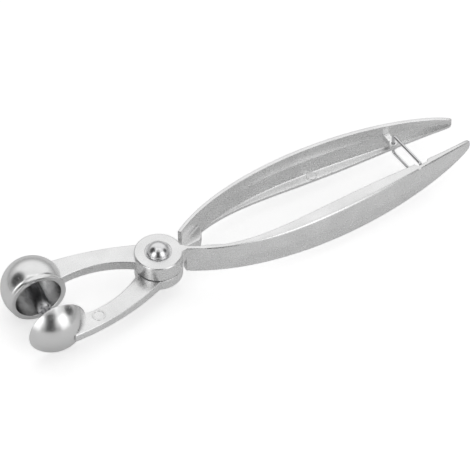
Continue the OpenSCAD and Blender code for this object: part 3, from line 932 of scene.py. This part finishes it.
@dataclass(frozen=True)
class DishLever(Lever):
    """Lower lever, with the dish's arm, the rear handle and the bail's eye."""

    name: str = "lower"
    node: str = "dish_lever"
    body: str = "lower_half"
    side: int = -1
    arm: Arm = Arm(width=7.4, outer_r=93.0, outer_x=38.0, low=0.9, high=4.3,
                   end_inner=-33.8, end_outer=-40.6)
    neck: Plate = Plate(
        near=((0, -4.2), (7.4, -1.6), (12.2, 2.1), (18.1, 2.7), (19.8, 5), (20.8, 8)),
        far=((0, 4.6), (6, 4.6), (11, 4.4), (16, 7.3), (20, 9), (20.8, 8.8)),
        low=0.02, high=4.28, edge=0.35, stations=90, root_x=3.0)
    handle: Handle = Handle(upper=False)
    disc_h: float = 4.3
    mark_x: float = -29.1
    mark_y: float = -10.45
    mark_r: float = 2.4
    mark_line: float = 0.65
    mark_h: float = 0.18
    mark_sunk: float = 0.2
    boss_x: float = 68.3
    boss_r: float = 1.9
    boss_inset: float = 1.5
    boss_h: float = 0.3
    boss_sunk: float = 0.6
    eye_bore_r: float = 0.63
    eye_r: float = 1.53
    eye_low: float = 4.1
    eye_high: float = 6.3
    web_half: float = 1.1
    web_start: float = 1.2
    web_end: float = 5.1

    def disc(self) -> tuple[np.ndarray, list]:
        """Section of the lower disc, a plain ring."""
        return box_corners(self.bore_r, self.hub_r, 0.0, self.disc_h), [0.1, 0.4, 0.2, 0.1]

    def extras(self) -> dict[str, Skin]:
        """Casting mark on the arm, mould mark on the flange, and the bail's eye with its web."""
        return {"arm_mark": self._arm_mark(), "boss": self._boss(), "eye": self._eye(),
                "eye_web": self._eye_web()}

    def _arm_mark(self) -> Skin:
        """Round casting mark on the dish's arm, a low turned ring."""
        section = box_corners(self.mark_r - self.mark_line, self.mark_r,
                              self.arm.high - self.mark_sunk, self.arm.high + self.mark_h)
        place = Place.upright(self.mark_x, self.mark_y)
        return Maker.turned(rounded(section, [0.25] * 4, 5, True), place, 64, True)

    def _boss(self) -> Skin:
        """Round mould mark on the flange, a low turned button."""
        y, foot = self.handle.edge_at(self.boss_x)
        top = foot + self.handle.wall + self.boss_h
        low = top - self.boss_h - self.boss_sunk
        section = np.array([[0.0, low], [self.boss_r, low], [self.boss_r, top], [0.0, top]])
        place = Place.upright(self.boss_x, y - self.handle.wall - self.boss_inset)
        return Maker.turned(rounded(section, [0.15] * 4, 4, False), place, 48, False)

    def _eye(self) -> Skin:
        """Eye that holds the bail, a turned ring."""
        section = box_corners(self.eye_bore_r, self.eye_r, self.eye_low, self.eye_high)
        place = Place.upright(BAIL_X, BAIL_Y)
        return Maker.turned(rounded(section, [0.2] * 4, 4, True), place, 48, True)

    def _eye_web(self) -> Skin:
        """Short web from the eye to the handle's wall."""
        start, end = BAIL_X - self.web_half, BAIL_X + self.web_half
        near, far = BAIL_Y + self.web_start, BAIL_Y + self.web_end
        return Plate(((start, near), (end, near)), ((start, far), (end, far)),
                     self.eye_low, self.eye_high, 0.2, 12).skin()


@dataclass(frozen=True)
class PunchLever(Lever):
    """Upper lever, with the hood's arm and the front handle, whose root reaches down."""

    name: str = "upper"
    node: str = "punch_lever"
    body: str = "upper_half"
    side: int = 1
    arm: Arm = Arm(width=9.7, outer_r=120.0, outer_x=51.0, low=5.35, high=9.25,
                   end_inner=-35.0, end_outer=-36.0)
    neck: Plate = Plate(
        near=((0, -4.2), (6, -4.6), (9, -3.8), (14, -6.7), (21, -9.5), (25.5, -11)),
        far=((0, 0), (7.4, 0), (10, -2.7), (13.7, -4.9), (16.1, -5.6), (25.5, -10.5)),
        low=4.67, high=10.63, edge=0.35, stations=90, root_x=5.2)
    handle: Handle = Handle(upper=True)
    gusset: Plate = Plate(
        near=((8.9, -3.9), (15.0, -7.2)),
        far=((8.9, -1.6), (10.0, -2.7), (13.7, -4.9), (15.0, -5.4)),
        low=-0.7, high=10.55, edge=0.4, stations=24)
    disc_low: float = 4.65
    disc_high: float = 10.65
    rim_cut: float = 0.4
    seat_r: float = 4.65
    seat_depth: float = 0.3

    def disc(self) -> tuple[np.ndarray, list]:
        """Section of the upper disc: a ring with a softened rim and a seat for the rivet."""
        seat = self.disc_high - self.seat_depth
        corners = np.array([
            [self.bore_r, self.disc_low], [self.hub_r, self.disc_low],
            [self.hub_r, self.disc_high - self.rim_cut],
            [self.hub_r - self.rim_cut, self.disc_high],
            [self.seat_r, self.disc_high], [self.seat_r, seat], [self.bore_r, seat]])
        return corners, [0.1, 0.15, 0.3, 0.4, 0.12, 0.12, 0.1]

    def extras(self) -> dict[str, Skin]:
        """Deep web that carries the handle's root down beside the lower disc."""
        return {"gusset": self.gusset.skin()}


@dataclass(frozen=True)
class Jaws:
    """Hood, dish and punch: thin polished shells turned round their own axes."""

    maker: Maker
    hood_place: Place = field(default_factory=lambda: Place.mouth(
        side=1, reach=43.7, angle_deg=9.1, turn_deg=-5.7, z=3.9))
    dish_place: Place = field(default_factory=lambda: Place.mouth(
        side=-1, reach=44.6, angle_deg=10.3, turn_deg=2.2, z=3.9))
    wall: float = 1.4
    dish_r: float = 10.8
    dish_depth: float = 6.9
    dish_rim_h: float = 0.4
    hood_r: float = 9.75
    hood_len: float = 16.6
    lip: float = 0.5
    lip_h: float = 1.1
    lip_fillet: float = 0.5
    groove_z: float = 0.15
    groove_h: float = 0.1
    groove_depth: float = 0.12
    mouth_h: float = 1.2
    seat_s: float = 13.5
    seat_r: float = 5.05
    seat_gap: float = 0.02
    punch_reach: float = 6.3
    collar_r: float = 4.0
    collar_h: float = 1.2
    collar_edge: float = 0.1
    root_r: float = 3.05
    crown_r: float = 2.5
    crown_bore_r: float = 1.6
    crown_h: float = 2.1
    crown_floor: float = 1.6
    crown_edge: float = 0.08
    teeth: int = 6
    gullet_from: float = 1.4
    gullet_depth: float = 1.25
    gullet_half: float = 0.16
    gullet_slope: float = 0.10

    def build(self) -> None:
        """Make the three shells."""
        hood = Maker.turned(self._hood(), self.hood_place, 160, False)
        self.maker.piece("punch_hood_shell", hood, "upper_half", "punch_hood",
                         Coat.POLISHED, "polished_jaw")
        dish = Maker.turned(self._dish(), self.dish_place, 160, False)
        self.maker.piece("olive_dish_shell", dish, "lower_half", "olive_dish",
                         Coat.POLISHED, "polished_jaw")
        profile, shift = self._punch(192)
        punch = Maker.turned(profile, self.hood_place, 192, False, shift)
        self.maker.piece("stone_punch_turned", punch, "upper_half", "stone_punch",
                         Coat.TURNED, "punch", crease_deg=25.0)

    def _dish(self) -> np.ndarray:
        """Outer ball from the back to the rim, rounded rim, inner ball back to the axis."""
        ball_r, middle = cap_ball(self.dish_r, self.dish_depth)
        inner_r = ball_r - self.wall
        below = self.dish_rim_h - middle
        outer = ball_arc(ball_r, middle, 0.0, math.acos(below / ball_r), 60)
        inner = ball_arc(inner_r, middle, math.acos(below / inner_r), 0.0, 60)
        rim_out = np.array([self.dish_r, 0.0])
        rim_in = np.array([math.sqrt(inner_r**2 - middle**2), 0.0])
        rim = rounded(np.array([outer[-1], rim_out, rim_in, inner[0]]), [0.45] * 4, 7, False)
        return np.concatenate([outer[:-1], rim, inner[1:]])

    def _hood(self) -> np.ndarray:
        """Outer ball, lip, bore, round end and flat seat on the axis."""
        ball_r, middle = cap_ball(self.hood_r, self.hood_len)
        bore_r = self.hood_r - self.wall
        bore_s = self.hood_len - self.wall - bore_r
        foot = self.lip_h + self.lip_fillet
        outer = ball_arc(ball_r, middle, 0.0, math.acos((foot - middle) / ball_r), 90)
        lip_r = self.hood_r + self.lip
        back_r = math.sqrt(ball_r**2 - (self.lip_h + self.groove_z - middle) ** 2)
        lip = np.array([
            outer[-1], [back_r - self.groove_depth, self.lip_h + self.groove_h],
            [lip_r, self.lip_h], [lip_r, 0.0], [bore_r, 0.0], [bore_r, self.mouth_h]])
        lip = rounded(lip, [0.2, 0.1, 0.3, 0.5, 0.4, 0.3], 6, False)
        bore = ball_arc(bore_r, bore_s, math.pi / 2, math.asin(self.seat_r / bore_r), 40)
        seat = np.array([[self.seat_r, self.seat_s], [0.0, self.seat_s]])
        return np.concatenate([outer[:-1], lip, bore, seat])

    def _punch(self, sides: int) -> tuple[np.ndarray, np.ndarray]:
        """Collar, taper and hollow crown; trapezoid gullets part the crown's teeth.

        Args:
            sides: Points round the axis.

        Returns:
            The profile, and the shift along the axis of each of its points off the axis.
        """
        tip, top = -self.punch_reach, self.seat_s - self.seat_gap
        bottom, edge, bevel = top - self.collar_h, self.collar_edge, self.crown_edge
        profile = np.array([
            [0.0, top], [self.collar_r - edge, top], [self.collar_r, top - edge],
            [self.collar_r, bottom + edge], [self.collar_r - edge, bottom],
            [self.root_r, bottom - edge / 2], [self.crown_r, tip + self.crown_h],
            [self.crown_r, tip + self.gullet_from], [self.crown_r, tip + bevel],
            [self.crown_r - bevel, tip], [self.crown_bore_r + bevel, tip],
            [self.crown_bore_r, tip + bevel], [self.crown_bore_r, tip + self.gullet_from],
            [self.crown_bore_r, tip + self.crown_floor], [0.0, tip + self.crown_floor]])
        phase = (np.arange(sides) / sides * self.teeth + 0.5) % 1.0
        open_share = (self.gullet_half - np.abs(phase - 0.5)) / self.gullet_slope
        depth = open_share.clip(0.0, 1.0) * self.gullet_depth
        radius, along = profile[1:-1].T
        end = (radius <= self.crown_r) & (along < tip + self.gullet_from)
        return profile, end[:, None] * depth


@dataclass(frozen=True)
class Fasteners:
    """Rivet with its domed head, and the wire bail."""

    maker: Maker
    head_r: float = 4.3
    head_h: float = 3.6
    head_z: float = 10.4
    head_edge: float = 0.35
    shank_r: float = 2.5
    tail_r: float = 4.0
    tail_h: float = 1.5
    bail_len: float = 16.46
    bail_low: float = 0.9
    bail_high: float = 10.4
    bail_corner: float = 1.3
    lean_deg: float = 5.0
    wire_r: float = 0.55

    def build(self) -> None:
        """Make both pieces."""
        rivet = Maker.turned(self._rivet(), Place.upright(), 120, False)
        self.maker.piece("rivet_turned", rivet, "lower_half", "pivot_rivet",
                         Coat.RIVET, "rivet")
        self.maker.piece("bail_bent_wire", self._bail(), "bail", "latch_bail",
                         Coat.WIRE, "bail_wire")

    def _rivet(self) -> np.ndarray:
        """Dome as an arc of a ball, then the head's under side, shank and flush tail."""
        ball_r, below = cap_ball(self.head_r, self.head_h)
        start = math.acos((self.head_edge - below) / ball_r)
        dome = ball_arc(ball_r, self.head_z + below, 0.0, start, 40)
        under = np.array([
            dome[-1], [self.head_r, self.head_z], [self.shank_r, self.head_z],
            [self.shank_r, self.tail_h], [self.tail_r, 0.0], [0.0, 0.0]])
        under = rounded(under, [0.2, 0.25, 0.1, 0.1, 0.1, 0.1], 4, False)
        return np.concatenate([dome[:-1], under])

    def _bail(self) -> Skin:
        """Rectangle of wire with rounded corners, leaning a little in plan."""
        low, high = self.bail_low + self.wire_r, self.bail_high - self.wire_r
        corners = np.array([[0.0, low], [0.0, high], [-self.bail_len, high],
                            [-self.bail_len, low]])
        soft = rounded(corners, [self.bail_corner] * 4, 12, True)
        gap = np.roll(soft, -1, axis=0) - soft
        u = np.linspace(0.0, 1.0, 16, endpoint=False)[:, None]
        dense = (soft[:, None] + u * gap[:, None]).reshape(-1, 2)
        lean = math.radians(self.lean_deg)
        along = np.array([math.sin(lean), -math.cos(lean)])
        plan = -dense[:, :1] * along + [BAIL_X, BAIL_Y]
        path = np.concatenate([plan, dense[:, 1:]], axis=1)
        normal = np.array([math.cos(lean), math.sin(lean), 0.0])
        return Maker.wire(path, normal, self.wire_r, 28)


NODE_COATS: dict[str, Coat] = {
    "dish_lever": Coat.CAST,
    "punch_lever": Coat.CAST,
    "olive_dish": Coat.POLISHED,
    "punch_hood": Coat.POLISHED,
    "stone_punch": Coat.TURNED,
    "pivot_rivet": Coat.RIVET,
    "hub_washer": Coat.DARK,
    "return_spring": Coat.WIRE,
    "latch_bail": Coat.WIRE,
}


def dress_nodes(materials: dict[Coat, bpy.types.Material]) -> None:
    """Give each CAD node its material; hub_washer and return_spring show as they are.

    Args:
        materials: The built material of each finish.
    """
    for node, coat in NODE_COATS.items():
        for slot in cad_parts[node].material_slots:
            slot.material = materials[coat]
        log.info("dressed %s in %s", node, coat.value)


def main() -> None:
    """Build the scene in order: camera, studio, finishes, pieces."""
    logging.basicConfig(level=logging.INFO, format="%(message)s")
    bpy.context.scene.view_settings.view_transform = "Standard"
    PhotoCamera().build()
    Studio().build()
    materials = {coat: finish.build() for coat, finish in FINISHES.items()}
    dress_nodes(materials)
    maker = Maker(materials)
    DishLever(maker).build()
    PunchLever(maker).build()
    Jaws(maker).build()
    Fasteners(maker).build()


if __name__ == "__main__":
    main()
